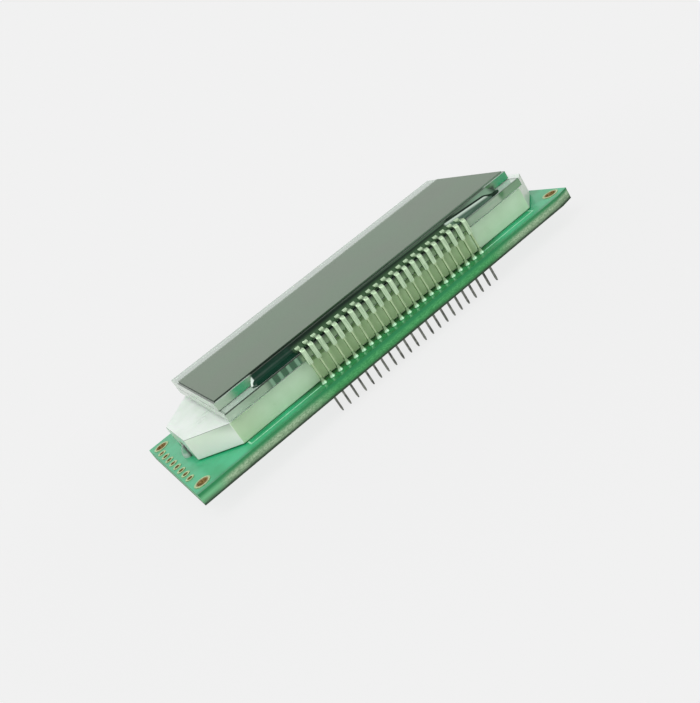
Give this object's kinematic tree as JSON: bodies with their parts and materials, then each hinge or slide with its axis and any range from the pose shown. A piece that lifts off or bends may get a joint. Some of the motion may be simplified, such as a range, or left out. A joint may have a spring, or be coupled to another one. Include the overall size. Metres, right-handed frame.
{
  "type": "segment display module",
  "caption": "Flat glass segment display on a tapered edge-lit light guide, clipped by a row of pins to a small scored circuit board with plated corner holes.",
  "frame": {"origin": "centre of the four corner holes, on the underside of the circuit board", "axes": "+X along the pin row, +Z towards the viewing face, -Y towards the pins"},
  "size_m": [0.0612, 0.025, 0.0103],
  "materials": {
    "board": "green solder mask over glass-epoxy board",
    "copper": "dull plated copper",
    "lamp_chip": "pale yellow chip",
    "lamp_dome": "clear resin",
    "reflector": "white film",
    "light_guide": "milky acrylic, smooth",
    "diffuser": "frosted film",
    "polarizer": "grey film, satin",
    "glass": "float glass with ground edges",
    "seal": "cured resin line",
    "liquid_crystal": "thin clear filling",
    "plug": "cured resin dab",
    "sealant": "dark glossy resin",
    "pin": "tinned strip",
    "solder": "bright solder"
  },
  "bodies": {
    "root": {"circuit_board": "board", "corner_hole_rings": "copper", "wire_hole_rings": "copper", "lamp_chip_left": "lamp_chip", "lamp_chip_right": "lamp_chip", "lamp_dome_left": "lamp_dome", "lamp_dome_right": "lamp_dome", "reflector_sheet": "reflector", "light_guide": "light_guide", "diffuser_sheet": "diffuser", "rear_polarizer": "polarizer", "rear_glass": "glass", "cell_seal": "seal", "liquid_crystal": "liquid_crystal", "front_glass": "glass", "front_polarizer": "polarizer", "filling_port_plug": "plug", "pin_sealant": "sealant", "solder_joints": "solder", "pin_01": "pin", "pin_02": "pin", "pin_03": "pin", "pin_04": "pin", "pin_05": "pin", "pin_06": "pin", "pin_07": "pin", "pin_08": "pin", "pin_09": "pin", "pin_10": "pin", "pin_11": "pin", "pin_12": "pin", "pin_13": "pin", "pin_14": "pin", "pin_15": "pin", "pin_16": "pin", "pin_17": "pin", "pin_18": "pin", "pin_19": "pin", "pin_20": "pin", "pin_21": "pin", "pin_22": "pin"}
  },
  "joints": []
}
